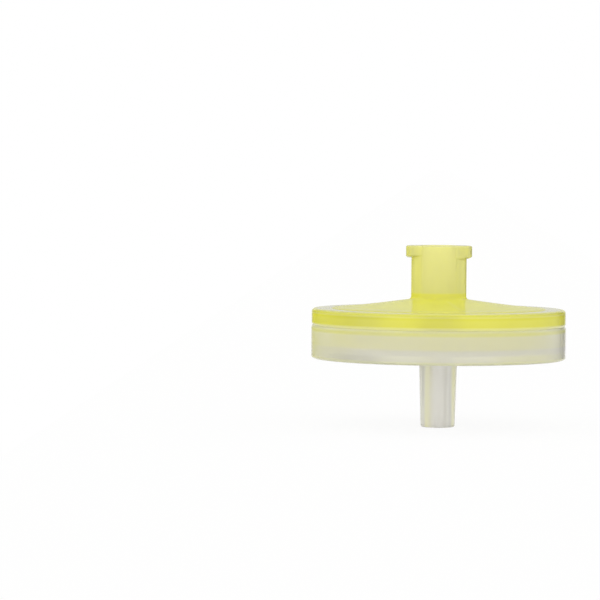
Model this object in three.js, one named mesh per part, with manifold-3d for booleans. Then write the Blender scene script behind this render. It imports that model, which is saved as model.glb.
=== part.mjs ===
// Syringe filter for a 25 mm membrane: two welded polypropylene mouldings with the membrane between them.
// Millimetres, +Z up. The filter stands on its outlet tip, whose end face is centred on the origin, and the
// inlet opens upwards with its two lugs along X.
import * as THREE from 'three';
import { mergeVertices } from 'three/addons/utils/BufferGeometryUtils.js';
import Module from 'manifold-3d';

const wasm = await Module();
wasm.setup();

// Luer fittings
const LUER_TAPER = 0.06; // diameter lost per length, on both cones
const INLET_BORE_DIAMETER = 4.3; // at the mouth
const INLET_BORE_DEPTH = 10.1;
const INLET_CHAMFER = 0.12;
const HUB_DIAMETER = 6.42;
const HUB_EDGE = 0.15;
const HUB_FILLET = 0.4;
const LUG_DIAMETER = 7.68; // across the two lugs
const LUG_HEIGHT = 1.37; // at the middle of a lug
const LUG_SPAN = 106; // degrees of the hub that one lug covers
const LUG_LEAD = 1.4; // rise of a lug's underside in a full turn
const LUG_ROUNDING = 0.2;
const OUTLET_TIP_DIAMETER = 3.96;
const OUTLET_LENGTH = 7.95;
const OUTLET_BORE_DIAMETER = 2.2;
const OUTLET_EDGE = 0.2;
const OUTLET_FILLET = 0.3;

// Membrane and what holds it
const MEMBRANE_DIAMETER = 25;
const MEMBRANE_THICKNESS = 0.2;
const CLAMP_WIDTH = 1.9; // of the membrane's edge that is held
const PLUG_MARGIN = 0.25; // plug beyond the membrane's edge
const LEDGE_MARGIN = 0.15; // ledge beyond the plug
const RIB_HEIGHT = 0.35;
const RIB_WIDTH = 0.5;
const RIB_COUNT = 24; // every second one is short
const LONG_RIB_START = 1.9; // distance from the axis
const SHORT_RIB_START = 4.4;

// Cup
const FLOOR_THICKNESS = 1;
const WALL_THICKNESS = 0.57;
const MOAT_WIDTH = 1.46; // between the plug and the cup's wall
const CUP_ROUNDING = 0.3;
const CUP_TOP_ROUNDING = 0.2;
const GROOVE_DEPTH = 0.25; // of the parting groove round the outside
const GROOVE_HEIGHT = 0.18;

// Upper half
const PLUG_DEPTH = 2.33; // below the rim's seat on the cup
const SPIGOT_DEPTH = 0.33;
const SPIGOT_CLEARANCE = 0.06;
const RIM_HEIGHT = 1.91;
const RIM_STEP = 0.03; // rim inside the cup's outer radius
const RIM_ROUNDING = 0.42;
const RIM_LOWER_ROUNDING = 0.25;
const LAND_WIDTH = 2.33; // flat ring inside the rim's edge
const SHOULDER_RISE = 0.09;
const SHOULDER_RUN = 0.15;
const OUTER_SLOPE = 4; // degrees
const INNER_SLOPE = 7.7;
const SLOPE_CHANGE_RADIUS = 9.6;
const SLOPE_BLEND = 2.3; // on each side of the change
const INLET_HEIGHT = 7.36; // mouth above the rim's top

// Flow paths under the upper half
const CHAMBER_HEIGHT = 0.35;
const CHANNEL_COUNT = 4;
const CHANNEL_ANGLE = 14.5; // degrees from +X to the first wide channel
const CHANNEL_START = 0.8;
const CHANNEL_WIDTH_INNER = 0.55;
const CHANNEL_WIDTH_OUTER = 1;
const CHANNEL_DEPTH = 0.6; // above the chamber's ceiling
const SIDE_CHANNEL_START = 3.4;
const SIDE_CHANNEL_WIDTH = 0.7;
const SIDE_CHANNEL_DEPTH = 0.25;
const RING_CHANNEL_WIDTH = 0.5;
const RING_CHANNEL_DEPTH = 0.3;
const PORT_DIAMETER = 0.9;
const PORT_CIRCLE_RADIUS = 1.2;

// Facets
const TURN_FACETS = 64;
const BORE_FACETS = 32;
const PORT_FACETS = 12;
const ARC_STEPS = 3;
const CUT_OVERRUN = 0.5; // how far a cutter or a joined rib passes the face it starts from

// Heights above the outlet tip, stacked from the bottom
const cupBase = OUTLET_LENGTH;
const floorTop = cupBase + FLOOR_THICKNESS;
const ribTop = floorTop + RIB_HEIGHT;
const clampFace = ribTop + MEMBRANE_THICKNESS;
const ceiling = clampFace + CHAMBER_HEIGHT;
const rimSeat = clampFace + PLUG_DEPTH;
const rimTop = rimSeat + RIM_HEIGHT;
const mouth = rimTop + INLET_HEIGHT;
const boreFloor = mouth - INLET_BORE_DEPTH;

// Radii, worked outwards from the membrane
const membraneRadius = MEMBRANE_DIAMETER / 2;
const chamberRadius = membraneRadius - CLAMP_WIDTH;
const plugRadius = membraneRadius + PLUG_MARGIN;
const wallInner = plugRadius + MOAT_WIDTH;
const cupRadius = wallInner + WALL_THICKNESS;
const rimRadius = cupRadius - RIM_STEP;
const hubRadius = HUB_DIAMETER / 2;

const radians = THREE.MathUtils.degToRad;

// Points of a round stretch of a profile, angles in degrees.
function arc(r, z, radius, from, to) {
  const curve = new THREE.EllipseCurve(r, z, radius, radius, radians(from), radians(to), to < from);
  return curve.getPoints(ARC_STEPS);
}

// Closed mesh to a solid that can be joined and cut.
function solid(geometry) {
  geometry.deleteAttribute('normal');
  geometry.deleteAttribute('uv');
  const merged = mergeVertices(geometry);
  const corners = merged.index.array;
  const triVerts = [];
  for (let i = 0; i < corners.length; i += 3) {
    const [a, b, c] = corners.slice(i, i + 3);
    // The facets that meet on the axis have no area there.
    if (a !== b && b !== c && c !== a) triVerts.push(a, b, c);
  }
  const mesh = new wasm.Mesh({
    numProp: 3,
    vertProperties: merged.attributes.position.array,
    triVerts: Uint32Array.from(triVerts),
  });
  return new wasm.Manifold(mesh);
}

// Turned about Z from [radius, height] points that run outwards, up and back to the start or to the axis.
function lathe(points, facets = TURN_FACETS) {
  const profile = points.map((p) => (p.isVector2 ? p : new THREE.Vector2(...p)));
  return new THREE.LatheGeometry(profile, facets).rotateX(Math.PI / 2);
}

function turned(points, facets) {
  return solid(lathe(points, facets));
}

// Solid with the plan view of a shape, from one height to another.
function upright(shape, from, to) {
  const geometry = new THREE.ExtrudeGeometry(shape, { depth: to - from, bevelEnabled: false });
  return solid(geometry.translate(0, 0, from));
}

// Straight bar along X in plan, with its own width at each end.
function bar(start, end, startWidth, endWidth) {
  const shape = new THREE.Shape();
  shape.moveTo(start, -startWidth / 2);
  shape.lineTo(end, -endWidth / 2);
  shape.lineTo(end, endWidth / 2);
  shape.lineTo(start, startWidth / 2);
  return shape;
}

function subPart(name, shape, color, roughness) {
  const mesh = shape.getMesh();
  const geometry = new THREE.BufferGeometry();
  geometry.setAttribute('position', new THREE.BufferAttribute(mesh.vertProperties, 3));
  geometry.setIndex(new THREE.BufferAttribute(mesh.triVerts, 1));
  geometry.computeVertexNormals();
  const part = new THREE.Mesh(geometry, new THREE.MeshStandardMaterial({ color, roughness, metalness: 0 }));
  part.name = name;
  return part;
}

// Height of the coned top at the inner, steeper slope.
const shoulderRadius = rimRadius - LAND_WIDTH;
const shoulderTop = rimTop + SHOULDER_RISE;
const coneStart = shoulderRadius - SHOULDER_RUN;
const slopeChangeHeight = shoulderTop + Math.tan(radians(OUTER_SLOPE)) * (coneStart - SLOPE_CHANGE_RADIUS);
function innerCone(r) {
  return slopeChangeHeight + Math.tan(radians(INNER_SLOPE)) * (SLOPE_CHANGE_RADIUS - r);
}

// The coned top: gentle at the shoulder, steeper towards the hub, with a smooth change between.
function conePoints() {
  const outer = SLOPE_CHANGE_RADIUS + SLOPE_BLEND;
  const inner = SLOPE_CHANGE_RADIUS - SLOPE_BLEND;
  const outerHeight = slopeChangeHeight - Math.tan(radians(OUTER_SLOPE)) * SLOPE_BLEND;
  const curve = new THREE.QuadraticBezierCurve(
    new THREE.Vector2(outer, outerHeight),
    new THREE.Vector2(SLOPE_CHANGE_RADIUS, slopeChangeHeight),
    new THREE.Vector2(inner, innerCone(inner)),
  );
  return curve.getPoints(ARC_STEPS);
}

// Fillet that leads from the cone into the hub's wall.
function hubFillet() {
  const slope = radians(INNER_SLOPE);
  const r = hubRadius + HUB_FILLET;
  const z = innerCone(r) + HUB_FILLET / Math.cos(slope);
  return arc(r, z, HUB_FILLET, 270 - INNER_SLOPE, 180);
}

// One luer-lock lug at +X: a stretch of a rounded ring whose underside rises gently with the thread.
function lug() {
  const inner = (hubRadius + INLET_BORE_DIAMETER / 2) / 2; // inside the hub's wall
  const roundingRadius = LUG_DIAMETER / 2 - LUG_ROUNDING;
  const base = mouth - LUG_HEIGHT;
  const ring = lathe([
    [inner, base],
    ...arc(roundingRadius, base + LUG_ROUNDING, LUG_ROUNDING, -90, 0),
    ...arc(roundingRadius, mouth - LUG_ROUNDING, LUG_ROUNDING, 0, 90),
    [inner, mouth],
    [inner, base],
  ]);
  const corners = ring.attributes.position;
  for (let i = 0; i < corners.count; i += 1) {
    const turn = Math.atan2(corners.getY(i), corners.getX(i)) / (2 * Math.PI);
    if (corners.getZ(i) < base + LUG_HEIGHT / 2) corners.setZ(i, corners.getZ(i) + LUG_LEAD * turn);
  }
  const half = radians(LUG_SPAN / 2);
  const sector = new THREE.Shape();
  sector.lineTo(LUG_DIAMETER * Math.cos(half), -LUG_DIAMETER * Math.sin(half));
  sector.absarc(0, 0, LUG_DIAMETER, -half, half, false);
  return solid(ring).intersect(upright(sector, base - LUG_HEIGHT, mouth + CUT_OVERRUN));
}

// Tapered inlet bore with a chamfer at its mouth.
function inletBore() {
  const mouthRadius = INLET_BORE_DIAMETER / 2;
  const floorRadius = mouthRadius - (LUER_TAPER / 2) * INLET_BORE_DEPTH;
  const chamferRadius = mouthRadius - (LUER_TAPER / 2) * INLET_CHAMFER;
  return turned([
    [0, boreFloor],
    [floorRadius, boreFloor],
    [chamferRadius, mouth - INLET_CHAMFER],
    [mouthRadius + INLET_CHAMFER, mouth],
    [mouthRadius + INLET_CHAMFER, mouth + CUT_OVERRUN],
    [0, mouth + CUT_OVERRUN],
  ], BORE_FACETS);
}

// Ring-shaped groove that joins the channels' outer ends.
function ringChannel() {
  const outer = chamberRadius - RING_CHANNEL_WIDTH / 2;
  const inner = outer - RING_CHANNEL_WIDTH;
  const base = ceiling - CHAMBER_HEIGHT / 2;
  const top = ceiling + RING_CHANNEL_DEPTH;
  return turned([[inner, base], [outer, base], [outer, top], [inner, top], [inner, base]]);
}

// Upper half: rim, coned top, hub with lugs, and the plug with its distribution star underneath.
function upperHousing() {
  const spigotRadius = wallInner - SPIGOT_CLEARANCE;
  const spigotFace = rimSeat - SPIGOT_DEPTH;
  let body = turned([
    [0, ceiling],
    [chamberRadius, ceiling],
    [chamberRadius, clampFace],
    [plugRadius, clampFace],
    [plugRadius, spigotFace],
    [spigotRadius, spigotFace],
    [spigotRadius, rimSeat],
    ...arc(rimRadius - RIM_LOWER_ROUNDING, rimSeat + RIM_LOWER_ROUNDING, RIM_LOWER_ROUNDING, -90, 0),
    ...arc(rimRadius - RIM_ROUNDING, rimTop - RIM_ROUNDING, RIM_ROUNDING, 0, 90),
    [shoulderRadius, rimTop],
    [coneStart, shoulderTop],
    ...conePoints(),
    ...hubFillet(),
    [hubRadius, mouth - HUB_EDGE],
    [hubRadius - HUB_EDGE, mouth],
    [0, mouth],
  ]);
  body = body.add(lug()).add(lug().rotate([0, 0, 180]));
  body = body.subtract(inletBore());
  body = body.subtract(ringChannel());

  const base = ceiling - CHAMBER_HEIGHT / 2;
  const reach = chamberRadius - RING_CHANNEL_WIDTH;
  const wide = bar(CHANNEL_START, reach, CHANNEL_WIDTH_INNER, CHANNEL_WIDTH_OUTER);
  const narrow = bar(SIDE_CHANNEL_START, reach, SIDE_CHANNEL_WIDTH, SIDE_CHANNEL_WIDTH);
  for (let i = 0; i < CHANNEL_COUNT; i += 1) {
    const angle = CHANNEL_ANGLE + (360 / CHANNEL_COUNT) * i;
    const channel = upright(wide, base, ceiling + CHANNEL_DEPTH);
    const sideChannel = upright(narrow, base, ceiling + SIDE_CHANNEL_DEPTH);
    const height = boreFloor + CUT_OVERRUN - base;
    const port = new THREE.CylinderGeometry(PORT_DIAMETER / 2, PORT_DIAMETER / 2, height, PORT_FACETS);
    port.rotateX(Math.PI / 2).translate(PORT_CIRCLE_RADIUS, 0, base + height / 2);
    body = body.subtract(channel.rotate([0, 0, angle]));
    body = body.subtract(sideChannel.rotate([0, 0, angle + 180 / CHANNEL_COUNT]));
    body = body.subtract(solid(port).rotate([0, 0, angle]));
  }
  return body;
}

// Filter disc, held at its edge between the plug and the ledge.
function membrane() {
  return turned([[0, ribTop], [membraneRadius, ribTop], [membraneRadius, clampFace], [0, clampFace]]);
}

// Lower half: outlet cone, cup, ledge and support ribs under the membrane.
function lowerHousing() {
  const tipRadius = OUTLET_TIP_DIAMETER / 2;
  const rootRadius = tipRadius + (LUER_TAPER / 2) * OUTLET_LENGTH;
  const neckRadius = cupRadius - GROOVE_DEPTH;
  const grooveBase = rimSeat - GROOVE_HEIGHT;
  const ledgeRadius = plugRadius + LEDGE_MARGIN;
  let body = turned([
    [0, 0],
    ...arc(tipRadius - OUTLET_EDGE, OUTLET_EDGE, OUTLET_EDGE, -90, 0),
    ...arc(rootRadius + OUTLET_FILLET, cupBase - OUTLET_FILLET, OUTLET_FILLET, 180, 90),
    ...arc(cupRadius - CUP_ROUNDING, cupBase + CUP_ROUNDING, CUP_ROUNDING, -90, 0),
    ...arc(cupRadius - CUP_TOP_ROUNDING, grooveBase - CUP_TOP_ROUNDING, CUP_TOP_ROUNDING, 0, 90),
    [neckRadius, grooveBase],
    [neckRadius, rimSeat],
    [wallInner, rimSeat],
    [wallInner, floorTop],
    [ledgeRadius, floorTop],
    [ledgeRadius, ribTop],
    [chamberRadius, ribTop],
    [chamberRadius, floorTop],
    [0, floorTop],
  ]);
  const sunk = floorTop - FLOOR_THICKNESS / 2;
  const ribEnd = chamberRadius + (ledgeRadius - chamberRadius) / 2;
  for (let i = 0; i < RIB_COUNT; i += 1) {
    const start = i % 2 === 0 ? LONG_RIB_START : SHORT_RIB_START;
    const rib = upright(bar(start, ribEnd, RIB_WIDTH, RIB_WIDTH), sunk, ribTop);
    body = body.add(rib.rotate([0, 0, (360 / RIB_COUNT) * i]));
  }
  const boreLength = floorTop + 2 * CUT_OVERRUN;
  const boreRadius = OUTLET_BORE_DIAMETER / 2;
  const bore = new THREE.CylinderGeometry(boreRadius, boreRadius, boreLength, BORE_FACETS);
  bore.rotateX(Math.PI / 2).translate(0, 0, floorTop / 2);
  return body.subtract(solid(bore));
}

const filter = new THREE.Group();
filter.add(subPart('lower_housing', lowerHousing(), 0xd6d4c2, 0.25));
filter.add(subPart('membrane', membrane(), 0xf4f4f0, 0.9));
filter.add(subPart('upper_housing', upperHousing(), 0xdcd862, 0.25));

export default filter;
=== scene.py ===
from math import atan2, ceil, cos, degrees, pi, radians, sin, tan

import bmesh
import bpy
from mathutils import Matrix, Vector


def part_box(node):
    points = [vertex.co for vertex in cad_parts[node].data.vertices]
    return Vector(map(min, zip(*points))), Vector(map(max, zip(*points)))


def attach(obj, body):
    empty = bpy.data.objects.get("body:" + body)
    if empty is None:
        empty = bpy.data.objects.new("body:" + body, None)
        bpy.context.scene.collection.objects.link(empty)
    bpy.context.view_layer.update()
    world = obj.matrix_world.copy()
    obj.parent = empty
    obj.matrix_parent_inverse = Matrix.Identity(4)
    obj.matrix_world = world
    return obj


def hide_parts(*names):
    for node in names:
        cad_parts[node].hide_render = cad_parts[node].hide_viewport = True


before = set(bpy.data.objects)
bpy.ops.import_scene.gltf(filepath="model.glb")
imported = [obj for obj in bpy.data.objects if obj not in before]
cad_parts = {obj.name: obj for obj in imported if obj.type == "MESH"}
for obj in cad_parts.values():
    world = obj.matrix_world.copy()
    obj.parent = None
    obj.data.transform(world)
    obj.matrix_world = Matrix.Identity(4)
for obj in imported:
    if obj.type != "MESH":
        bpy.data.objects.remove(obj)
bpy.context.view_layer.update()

# Lower housing: the cup with its outlet cone, one moulding of uncoloured polypropylene, milky and
# partly see-through. It stands on the tip of the cone. Ribs on the cup's floor carry the membrane,
# and the upper housing is welded to the edge of its wall.
MM = 0.001
FACETS = 256
FILLET_STEP = 11
LUER_TAPER = 0.03


def rounded(corners):
    """Points round a section, in mm, from corners given as (radius, height, fillet)."""
    points = []
    for i, (r, z, fillet) in enumerate(corners):
        corner = Vector((r, z))
        if not fillet:
            points.append(corner)
            continue
        back = (Vector(corners[i - 1][:2]) - corner).normalized()
        ahead = (Vector(corners[(i + 1) % len(corners)][:2]) - corner).normalized()
        half = back.angle(ahead) / 2
        centre = corner + (back + ahead).normalized() * fillet / sin(half)
        start = corner + back * fillet / tan(half) - centre
        end = corner + ahead * fillet / tan(half) - centre
        turn = atan2(start.x * end.y - start.y * end.x, start.dot(end))
        steps = max(2, ceil(abs(degrees(turn)) / FILLET_STEP))
        for k in range(steps + 1):
            points.append(centre + Matrix.Rotation(turn * k / steps, 2) @ start)
    return points


def skinned(rows, ring):
    """Closed mesh through rows of points in mm: a ring of rows, or a stretch with capped ends."""
    bm = bmesh.new()
    rows = [[bm.verts.new(Vector(p) * MM) for p in row] for row in rows]
    for near, far in zip(rows, rows[1:] + rows[:1] if ring else rows[1:]):
        count = max(len(near), len(far))
        for i in range(count):
            j = (i + 1) % count
            quad = [row[k % len(row)] for row, k in ((near, i), (far, i), (far, j), (near, j))]
            corners = list(dict.fromkeys(quad))
            if len(corners) > 2:
                bm.faces.new(corners)
    if not ring:
        bm.faces.new(rows[0])
        bm.faces.new(rows[-1])
    bmesh.ops.recalc_face_normals(bm, faces=bm.faces)
    return bm


def turned(corners):
    """Closed mesh turned about the filter's axis from the corners of its section."""
    rows = []
    for r, z in rounded(corners):
        around = FACETS if r > 0 else 1
        turns = [2 * pi * k / around for k in range(around)]
        rows.append([(r * cos(a), r * sin(a), z) for a in turns])
    return skinned(rows, ring=True)


def upright(plans, z0, z1):
    """Upright prisms, each from its plan in mm."""
    joined = bmesh.new()
    for plan in plans:
        bm = skinned([[(x, y, z) for x, y in plan] for z in (z0, z1)], ring=False)
        scrap = bpy.data.meshes.new("scrap")
        bm.to_mesh(scrap)
        joined.from_mesh(scrap)
        bpy.data.meshes.remove(scrap)
    return joined


def outward(turn, start, end, inner, outer, steps=6):
    """Plan of a bar that points outwards and ends in half circles, narrow end inside."""
    plan = []
    for at, width, side in ((end, outer, -90), (start, inner, 90)):
        for k in range(steps + 1):
            a = radians(side + 180 * k / steps)
            plan.append((at + cos(a) * width / 2, sin(a) * width / 2))
    spin = Matrix.Rotation(radians(turn), 2)
    return [spin @ Vector(p) for p in plan]


def piece(name, bm):
    """Object that holds the mesh."""
    mesh = bpy.data.meshes.new(name)
    bm.to_mesh(mesh)
    made = bpy.data.objects.new(name, mesh)
    bpy.context.collection.objects.link(made)
    return made


def worked(body, operation, bm):
    """Joins the mesh to the body, or cuts it away, and then closes the slivers that this leaves."""
    tool = piece("tool", bm)
    step = body.modifiers.new("step", "BOOLEAN")
    step.operation, step.object, step.solver = operation, tool, "EXACT"
    graph = bpy.context.evaluated_depsgraph_get()
    old, body.data = body.data, bpy.data.meshes.new_from_object(body.evaluated_get(graph))
    body.modifiers.clear()
    body.data.name = body.name
    clean = bmesh.new()
    clean.from_mesh(body.data)
    sliver = 0.0015 * MM
    bmesh.ops.remove_doubles(clean, verts=clean.verts, dist=sliver)
    bmesh.ops.dissolve_degenerate(clean, edges=clean.edges, dist=sliver)
    clean.to_mesh(body.data)
    clean.free()
    bpy.data.meshes.remove(old)
    bpy.data.meshes.remove(tool.data)


def dressed(body, material, node):
    """Gives a piece its finish and its place: it stands for the node and rides with the body."""
    body.data.materials.clear()
    body.data.materials.append(material)
    body.data.shade_smooth()
    body.data.set_sharp_from_angle(angle=radians(32))
    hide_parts(node)
    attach(body, "root")


class Wire:
    """Output of a shader node. An expression on wires and numbers adds its Math nodes."""

    def __init__(self, tree, socket=None):
        self.tree, self.socket = tree, socket

    def node(self, kind, settings, sockets, out=0):
        """Adds a node of a type, with its settings and the values or wires of its sockets."""
        made = self.tree.nodes.new(kind)
        for name, value in settings.items():
            setattr(made, name, value)
        for key, value in sockets.items():
            if isinstance(value, Wire):
                self.tree.links.new(value.socket, made.inputs[key])
            else:
                made.inputs[key].default_value = value
        return Wire(self.tree, made.outputs[out] if made.outputs else None)

    def math(self, operation, *values):
        return self.node("ShaderNodeMath", {"operation": operation}, dict(enumerate(values)))

    def ramp(self, start, width):
        """Rises from 0 to 1 over the width."""
        clamped = {"operation": "DIVIDE", "use_clamp": True}
        return self.node("ShaderNodeMath", clamped, {0: self - start, 1: width})

    def blend(self, first, second):
        """First colour where the wire is 0, second where it is 1."""
        pair = {0: self, 6: first, 7: second}
        return self.node("ShaderNodeMix", {"data_type": "RGBA"}, pair, out=2)

    def __add__(self, other):
        return self.math("ADD", self, other)

    def __sub__(self, other):
        return self.math("SUBTRACT", self, other)

    def __rsub__(self, other):
        return self.math("SUBTRACT", other, self)

    def __mul__(self, other):
        return self.math("MULTIPLY", self, other)

    def __truediv__(self, other):
        return self.math("DIVIDE", self, other)

    __radd__, __rmul__ = __add__, __mul__


def plastic(name, tint, cloudy, inner_tint, see_through, roughness, deep_tint, per_mm, zones,
            star=None, smooth=None):
    """Moulded polypropylene: cloudy and blurred behind, with a smooth skin and faint flow marks.
    Its colour drifts between tint and cloudy. Deep_tint is what light takes up on its way through,
    and per_mm how fast. A zone is (lowest, highest, near, far, tint) in mm, near and far from the
    axis, and covers the zones before it; most zones paint light or shade into the colour. A star is
    four paler lines of painted light, where more light comes through the thinner plastic over the
    channels, (turn, lowest, near, far, width, tint). Smooth is the (lowest, near, far) of a land
    that shines more."""
    material = bpy.data.materials.new(name)
    material.use_nodes = True
    material.node_tree.nodes.clear()
    start = Wire(material.node_tree)
    place = start.node("ShaderNodeTexCoord", {}, {}, out="Object")
    x, y, z = (start.node("ShaderNodeSeparateXYZ", {}, {0: place}, out=axis) for axis in "XYZ")
    reach = (x * x + y * y + 1e-8).math("SQRT", x * x + y * y + 1e-8)
    fan = start.node("ShaderNodeCombineXYZ", {}, {0: x / reach, 1: y / reach, 2: reach * 60})
    noise = "ShaderNodeTexNoise"
    cloud = start.node(noise, {}, {"Vector": place, "Scale": 170, "Detail": 3, "Roughness": 0.5})
    flow = start.node(noise, {}, {"Vector": fan, "Scale": 5, "Detail": 3, "Roughness": 0.45})
    grain = start.node(noise, {}, {"Vector": place, "Scale": 2600, "Detail": 2, "Roughness": 0.6})
    waves = start.node("ShaderNodeBump", {}, {"Strength": 0.25, "Distance": 0.03 * MM,
                                              "Height": flow * 0.7 + grain * 0.15})
    colour = (cloud * 0.7 + flow * 0.3).blend(tint, cloudy)
    up, out = z / MM, reach / MM
    fade_up, fade_out = 0.25, 0.1
    for low, high, near, far, shade in zones:
        zone = up.ramp(low, fade_up) * (high - up).ramp(0, fade_up)
        zone = zone * out.ramp(near, fade_out) * (far - out).ramp(0, fade_out)
        colour = zone.blend(colour, shade)
    # The star's lines are painted light: paler where more light comes through the thinner plastic
    # over the channels.
    if star:
        turn, low, near, far, width, shade = star
        along = x * (cos(radians(turn)) / MM) + y * (sin(radians(turn)) / MM)
        across = y * (cos(radians(turn)) / MM) - x * (sin(radians(turn)) / MM)
        off = along.math("MINIMUM", along.math("ABSOLUTE", along), across.math("ABSOLUTE", across))
        line = (width / 2 + 0.15 - off).ramp(0, 0.3) * up.ramp(low, 0.1)
        line = line * out.ramp(near, 0.6) * (far - out).ramp(0, 0.6)
        colour = line.blend(colour, shade)
    shine = dull = 0.42
    if smooth:
        low, near, far = smooth
        land = up.ramp(low, 0.1) * out.ramp(near, 0.1) * (far - out).ramp(0, 0.3)
        shine = land * 0.5 + dull
    refraction = 1.49
    skin = start.node("ShaderNodeBsdfPrincipled", {}, {
        "Base Color": colour,
        "Roughness": grain * 0.03 + (roughness - 0.015),
        "IOR": refraction,
        "Transmission Weight": see_through,
        "Subsurface Weight": 0.5,
        "Subsurface Radius": (1.0, 1.0, 1.0),
        "Subsurface Scale": 0.8 * MM,
        "Specular IOR Level": 0.0,
        "Coat Weight": shine,
        "Coat Roughness": 0.06,
        "Coat IOR": refraction,
        "Normal": waves,
    })
    inside = start.node("ShaderNodeBsdfPrincipled", {}, {
        "Base Color": inner_tint,
        "Roughness": roughness,
        "IOR": refraction,
        "Transmission Weight": 1.0,
    })
    behind = start.node("ShaderNodeNewGeometry", {}, {}, out="Backfacing")
    both = start.node("ShaderNodeMixShader", {}, {0: behind, 1: skin, 2: inside})
    soak = start.node("ShaderNodeVolumeAbsorption", {}, {"Color": deep_tint, "Density": per_mm / MM})
    start.node("ShaderNodeOutputMaterial", {}, {"Surface": both, "Volume": soak})
    return material


cup_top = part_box("lower_housing")[1].z / MM
cup_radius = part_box("lower_housing")[1].x / MM
membrane_low, membrane_high = (corner.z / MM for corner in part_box("membrane"))
plug_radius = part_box("membrane")[1].x / MM + 0.25
chamber_radius = 10.6
cup_base = 7.95
floor_top = 8.95
wall_inner = cup_radius - 0.57
tip_radius = 1.98
root_radius = tip_radius + LUER_TAPER * cup_base
bore_radius = 1.1
groove_base = cup_top - 0.26
neck_radius = cup_radius - 0.13
ledge_radius = plug_radius + 0.15
rib_count = 24
rib_width = 0.5
rib_starts = (1.9, 4.4)
rib_gap = 0.01
root_depth = 0.3
beyond = 30

lower = piece("lower_moulding", turned([
    (bore_radius, 0, 0.12),
    (tip_radius, 0, 0.2),
    (root_radius, cup_base, 0.3),
    (cup_radius, cup_base, 0.3),
    (cup_radius, groove_base, 0.3),
    (neck_radius, cup_top, 0),
    (wall_inner, cup_top, 0.04),
    (wall_inner, floor_top, 0.06),
    (ledge_radius, floor_top, 0.1),
    (ledge_radius, membrane_low, 0.06),
    (chamber_radius, membrane_low, 0.06),
    (chamber_radius, floor_top, 0.1),
    (bore_radius, floor_top, 0.15),
]))
rib_plans = []
for k in range(rib_count):
    turn = 360 / rib_count * k
    rib_plans.append(outward(turn, rib_starts[k % 2], chamber_radius + 1, rib_width, rib_width))
worked(lower, "UNION", upright(rib_plans, floor_top - root_depth, membrane_low - rib_gap))

# In turn: the wall, with a painted yellow cast from the yellow plug within; a painted yellow glow
# where the rim's light shines down into the wall's top; the groove, painted pale to lift its shade
# and stand in for the highlight on the cup's top edge; the cup's lower part, painted darker and
# greyer as shade; its bottom edge, with a painted yellow glow; and the outlet.
milky_tones_and_painted_light = [
    (floor_top - 0.25, beyond, wall_inner - 1, beyond, (0.92, 0.9, 0.72, 1)),
    (cup_top - 0.75, beyond, wall_inner - 1, beyond, (0.95, 0.94, 0.45, 1)),
    (groove_base - 0.08, beyond, wall_inner - 1, beyond, (1, 0.99, 0.66, 1)),
    (0, membrane_high + 0.25, root_radius + 1, beyond, (0.87, 0.855, 0.785, 1)),
    (0, cup_base + 0.45, wall_inner - 0.6, beyond, (0.93, 0.92, 0.62, 1)),
    (-1, cup_base, 0, root_radius + 0.5, (1, 0.98, 0.93, 1)),
]
milky = plastic("natural polypropylene", tint=(0.92, 0.9, 0.84, 1), cloudy=(0.945, 0.93, 0.88, 1),
                inner_tint=(1, 0.99, 0.97, 1), see_through=0.55, roughness=0.25,
                deep_tint=(0.99, 0.985, 0.8, 1), per_mm=0.08, zones=milky_tones_and_painted_light)
dressed(lower, milky, "lower_housing")

# Membrane: a white disc of microporous film, 25 mm across. It lies on the ribs, and the plug of
# the upper housing presses its edge onto the cup's ledge.
film_gap = 0.006
film_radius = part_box("membrane")[1].x / MM
film = piece("membrane_film", turned([
    (0, membrane_low + film_gap, 0),
    (film_radius, membrane_low + film_gap, 0.03),
    (film_radius, membrane_high - film_gap, 0.03),
    (0, membrane_high - film_gap, 0),
]))
paper = bpy.data.materials.new("membrane film")
paper.use_nodes = True
paper.node_tree.nodes.clear()
start = Wire(paper.node_tree)
place = start.node("ShaderNodeTexCoord", {}, {}, out="Object")
noise = "ShaderNodeTexNoise"
pores = start.node(noise, {}, {"Vector": place, "Scale": 9000, "Detail": 3, "Roughness": 0.7})
felt = start.node(noise, {}, {"Vector": place, "Scale": 900, "Detail": 4, "Roughness": 0.6})
start.node("ShaderNodeOutputMaterial", {}, {"Surface": start.node("ShaderNodeBsdfPrincipled", {}, {
    "Base Color": felt.blend((0.86, 0.86, 0.84, 1), (0.93, 0.93, 0.92, 1)),
    "Roughness": pores * 0.2 + 0.75,
    "Specular IOR Level": 0.25,
    "Normal": start.node("ShaderNodeBump", {}, {"Strength": 0.5, "Distance": 0.02 * MM,
                                                "Height": pores}),
})})
dressed(film, paper, "membrane")

# Upper housing: rim, coned top, luer hub with two lugs, and below them the plug with its star of
# flow channels, one moulding of translucent yellow polypropylene. Its rim is welded onto the cup,
# and a short spigot inside the wall centres it.
weld = 0.01
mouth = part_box("upper_housing")[1].z / MM
plug_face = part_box("upper_housing")[0].z / MM
rim_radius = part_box("upper_housing")[1].x / MM
rim_seat = cup_top + weld
foot_width = 0.1
foot_height = 0.24
rim_top = cup_top + 1.91
spigot_face = cup_top - 0.33
spigot_radius = wall_inner - 0.06
ceiling = plug_face + 0.35
channel_ring = (chamber_radius - 0.75, chamber_radius - 0.25)
channel_depth = 0.3
shoulder_radius = rim_radius - 2.33
shoulder_top = rim_top + 0.09
cone_start = shoulder_radius - 0.15
low_slope = radians(4)
cone_slope = radians(7.7)
slope_change = 9.6
slope_blend = 70
slope_height = shoulder_top + tan(low_slope) * (cone_start - slope_change)
hub_radius = 3.21
cone_top = slope_height + tan(cone_slope) * (slope_change - hub_radius)
bore_depth = 10.1
bore_floor = mouth - bore_depth
mouth_radius = 2.15
lip_width = 0.1
lip_height = 0.12
lip_draft = 0.004
floor_radius = mouth_radius - LUER_TAPER * bore_depth

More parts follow.
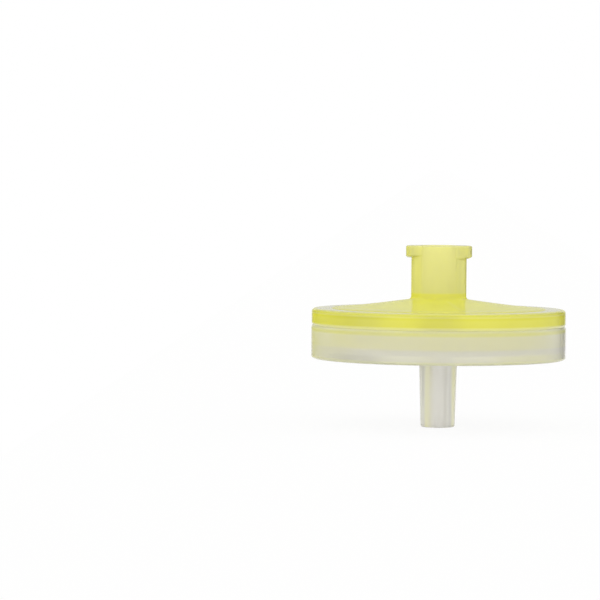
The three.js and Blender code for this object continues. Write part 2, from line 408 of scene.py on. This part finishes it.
upper = piece("upper_moulding", turned([
    (0, ceiling, 0),
    (channel_ring[0], ceiling, 0.04),
    (channel_ring[0], ceiling + channel_depth, 0.08),
    (channel_ring[1], ceiling + channel_depth, 0.08),
    (channel_ring[1], ceiling, 0.04),
    (chamber_radius, ceiling, 0.04),
    (chamber_radius, plug_face, 0.06),
    (plug_radius, plug_face, 0.12),
    (plug_radius, spigot_face, 0.1),
    (spigot_radius, spigot_face, 0.08),
    (spigot_radius, rim_seat, 0),
    (rim_radius - foot_width, rim_seat, 0),
    (rim_radius, rim_seat + foot_height, 0.2),
    (rim_radius, rim_top, 0.42),
    (shoulder_radius, rim_top, 0.08),
    (cone_start, shoulder_top, 0.08),
    (slope_change, slope_height, slope_blend),
    (hub_radius, cone_top, 0.4),
    (hub_radius, mouth, 0.12),
    (mouth_radius + lip_width, mouth, 0.05),
    (mouth_radius - lip_draft, mouth - lip_height, 0.05),
    (floor_radius, bore_floor, 0.15),
    (0, bore_floor, 0),
]))

# The lugs' undersides rise as a right-hand thread, and their ends run out into the hub.
lug_root = 2.7
lug_radius = 3.84
lug_height = 1.37
lug_lead = 1.4
lug_end = 50
lug_run_out = 30
lug_reach = lug_end + 3
lug_steps = 60
low_end = hub_radius + 0.03
lug_section = rounded([
    (lug_root, mouth - lug_height, 0),
    (lug_radius, mouth - lug_height, 0.2),
    (lug_radius, mouth, 0.2),
    (lug_root, mouth, 0),
])
for side in (0, 180):
    rows = []
    for k in range(lug_steps + 1):
        turn = -lug_reach + 2 * lug_reach * k / lug_steps
        rise = lug_lead * turn / 360
        a = radians(side + turn)
        along = min(1, max(0, lug_end - abs(turn)) / lug_run_out)
        out = along * along * (3 - 2 * along)
        reach = low_end + (lug_radius - low_end) * out
        row = []
        for r, z in lug_section:
            r = lug_root + (r - lug_root) * (reach - lug_root) / (lug_radius - lug_root)
            z += rise if z < mouth - lug_height / 2 else 0
            row.append((r * cos(a), r * sin(a), z))
        rows.append(row)
    worked(upper, "UNION", skinned(rows, ring=False))

# Four wide channels lead outwards from the ports in the bore's floor, with four shallow ones
# between them.
star_turn = 14.5
star_depth = 0.6
side_depth = 0.25
star_end = chamber_radius - 0.5
entry = 0.2
star = []
side_star = []
for k in range(4):
    turn = star_turn + 90 * k
    star.append(outward(turn, start=1.1, end=star_end, inner=0.55, outer=1))
    side_star.append(outward(turn + 45, start=3.7, end=star_end, inner=0.7, outer=0.7))
worked(upper, "DIFFERENCE", upright(star, ceiling - entry, ceiling + star_depth))
worked(upper, "DIFFERENCE", upright(side_star, ceiling - entry, ceiling + side_depth))
port_radius = 0.45
port_circle = 1.2
port_sides = 32
ports = []
for k in range(4):
    centre = Matrix.Rotation(radians(star_turn + 90 * k), 2) @ Vector((port_circle, 0))
    turns = [2 * pi * i / port_sides for i in range(port_sides)]
    ports.append([centre + Vector((cos(a), sin(a))) * port_radius for a in turns])
worked(upper, "DIFFERENCE", upright(ports, ceiling + star_depth / 2, bore_floor + star_depth / 2))

# In turn: the rim's foot, painted pale to lift the shade of the groove under it; the rim's side; a
# painted highlight line on it, where its top rounding ends; the cone over the channels; the cone
# outside them and the flat land, painted paler for the light that comes up through the cup beneath;
# the hub, painted paler for the light that comes through its thin wall; and the bore, painted pale
# to lift its shade.
yellow_tones_and_painted_light = [
    (0, rim_seat + 0.4, rim_radius - 0.5, beyond, (0.87, 0.86, 0.48, 1)),
    (rim_top - 0.85, rim_top, rim_radius - 0.5, beyond, (0.78, 0.765, 0.1, 1)),
    (rim_top - 0.56, rim_top - 0.24, rim_radius - 0.4, beyond, (0.8, 0.78, 0.4, 1)),
    (rim_top + 0.02, beyond, 0, beyond, (0.88, 0.86, 0.14, 1)),
    (rim_top + 0.02, beyond, chamber_radius + 0.1, beyond, (0.88, 0.86, 0.22, 1)),
    (rim_top - 0.25, beyond, shoulder_radius, beyond, (0.84, 0.825, 0.26, 1)),
    (cone_top + 0.6, beyond, 0, beyond, (0.81, 0.79, 0.33, 1)),
    (bore_floor - 1, mouth - 0.2, 0, mouth_radius + 0.2, (0.88, 0.86, 0.92, 1)),
]
painted_star_light = (star_turn, rim_top, hub_radius + 0.6, chamber_radius - 0.3, 0.5, (0.88, 0.86, 0.19, 1))
flat_land = (rim_top - 0.12, shoulder_radius, rim_radius - 0.4)
yellow = plastic("yellow polypropylene", tint=(0.8, 0.78, 0.12, 1), cloudy=(0.83, 0.81, 0.18, 1),
                 inner_tint=(1, 0.99, 0.45, 1), see_through=0.42, roughness=0.25,
                 deep_tint=(0.998, 0.994, 0.0, 1), per_mm=0.4, zones=yellow_tones_and_painted_light,
                 star=painted_star_light, smooth=flat_land)
dressed(upper, yellow, "upper_housing")

# Studio: a long, narrow white bench in a white surround that is brighter in front, with two soft
# boxes there, one on each side. Behind the filter a dark screen on the right and a yellow one on
# the left colour what comes through the plastic, but the camera sees white in their place.
bench_mesh = bpy.data.meshes.new("bench")
bench_left, bench_right, bench_end = -0.045, 0.05, 20
corners = [(bench_left, -bench_end, 0), (bench_right, -bench_end, 0),
           (bench_right, bench_end, 0), (bench_left, bench_end, 0)]
bench_mesh.from_pydata(corners, [], [(0, 1, 2, 3)])
bench = bpy.data.objects.new("bench", bench_mesh)
bpy.context.collection.objects.link(bench)
card = bpy.data.materials.new("white card")
card.use_nodes = True
card.node_tree.nodes.clear()
start = Wire(card.node_tree)
rays = [start.node("ShaderNodeLightPath", {}, {}, out=f"Is {kind} Ray")
        for kind in ("Camera", "Glossy", "Transmission")]
seen = rays[0].math("MAXIMUM", rays[0], rays[1].math("MAXIMUM", rays[1], rays[2]))
paint = start.node("ShaderNodeBsdfDiffuse", {}, {"Color": (0.9, 0.9, 0.9, 1)})
white = start.node("ShaderNodeEmission", {}, {"Strength": 1.0})
lit = start.node("ShaderNodeMixShader", {}, {0: seen * 0.93, 1: paint, 2: white})
below = start.node("ShaderNodeNewGeometry", {}, {}, out="Backfacing")
clear = start.node("ShaderNodeBsdfTransparent", {}, {})
whole = start.node("ShaderNodeMixShader", {}, {0: below * rays[0], 1: lit, 2: clear})
start.node("ShaderNodeOutputMaterial", {}, {"Surface": whole})
bench_mesh.materials.append(card)

world = bpy.data.worlds.new("surround")
world.use_nodes = True
world.node_tree.nodes.clear()
bpy.context.scene.world = world
start = Wire(world.node_tree)
way = start.node("ShaderNodeTexCoord", {}, {}, out="Generated")
x, y, z = (start.node("ShaderNodeSeparateXYZ", {}, {0: way}, out=axis) for axis in "XYZ")
dome = 1.045 - y * 0.355 - x * 0.05
seen = start.node("ShaderNodeLightPath", {}, {}, out="Is Camera Ray")
across = x.math("ABSOLUTE", x)
screens = across.ramp(0.26, 0.08) * y.ramp(-0.3, 0.4) * (0.5 - z).ramp(0, 0.2)
right_screen = x.ramp(0.58, 0.2).blend((0.02, 0.02, 0.01, 1), (0.92, 0.92, 0.86, 1))
left_screen = (x * -1).ramp(0.6, 0.2).blend((0.8, 0.78, 0.02, 1), (0.88, 0.86, 0.3, 1))
screen_tint = (x * -1).ramp(0, 0.1).blend(right_screen, left_screen)
air = start.node("ShaderNodeBackground", {}, {
    "Color": seen.blend(screens.blend((1, 1, 1, 1), screen_tint), (1, 1, 1, 1)),
    "Strength": dome + seen * (1 - dome),
})
start.node("ShaderNodeOutputWorld", {}, {"Surface": air})

for side, power in ((-1, 0.12), (1, 0.04)):
    box = bpy.data.lights.new("soft box", "AREA")
    box.shape, box.size, box.size_y = "RECTANGLE", 0.16, 0.6
    box.energy = power
    lamp = bpy.data.objects.new("soft box", box)
    bpy.context.collection.objects.link(lamp)
    bearing = radians(46) * side
    lamp.location = (sin(bearing), -cos(bearing), 0.35)
    lamp.rotation_euler = (-lamp.location).to_track_quat("-Z", "Y").to_euler()

# Camera: a long lens a little higher than the filter, which it looks down on very slightly. It
# is turned to the left, so that the filter stands right of the middle.
camera = bpy.data.objects.new("camera", bpy.data.cameras.new("camera"))
bpy.context.collection.objects.link(camera)
bpy.context.scene.camera = camera
camera.data.sensor_width, camera.data.lens = 36, 201.2
camera.data.clip_start, camera.data.clip_end = 0.01, 60
camera.location = (0, -0.390, 0.03043)
aim = Vector((-0.01614, 0, 0.01461))
roll = Matrix.Rotation(0.0077, 3, "Z")
look = (aim - camera.location).to_track_quat("-Z", "Y").to_matrix()
camera.rotation_euler = (look @ roll).to_euler()
bpy.context.scene.view_settings.view_transform = "Standard"
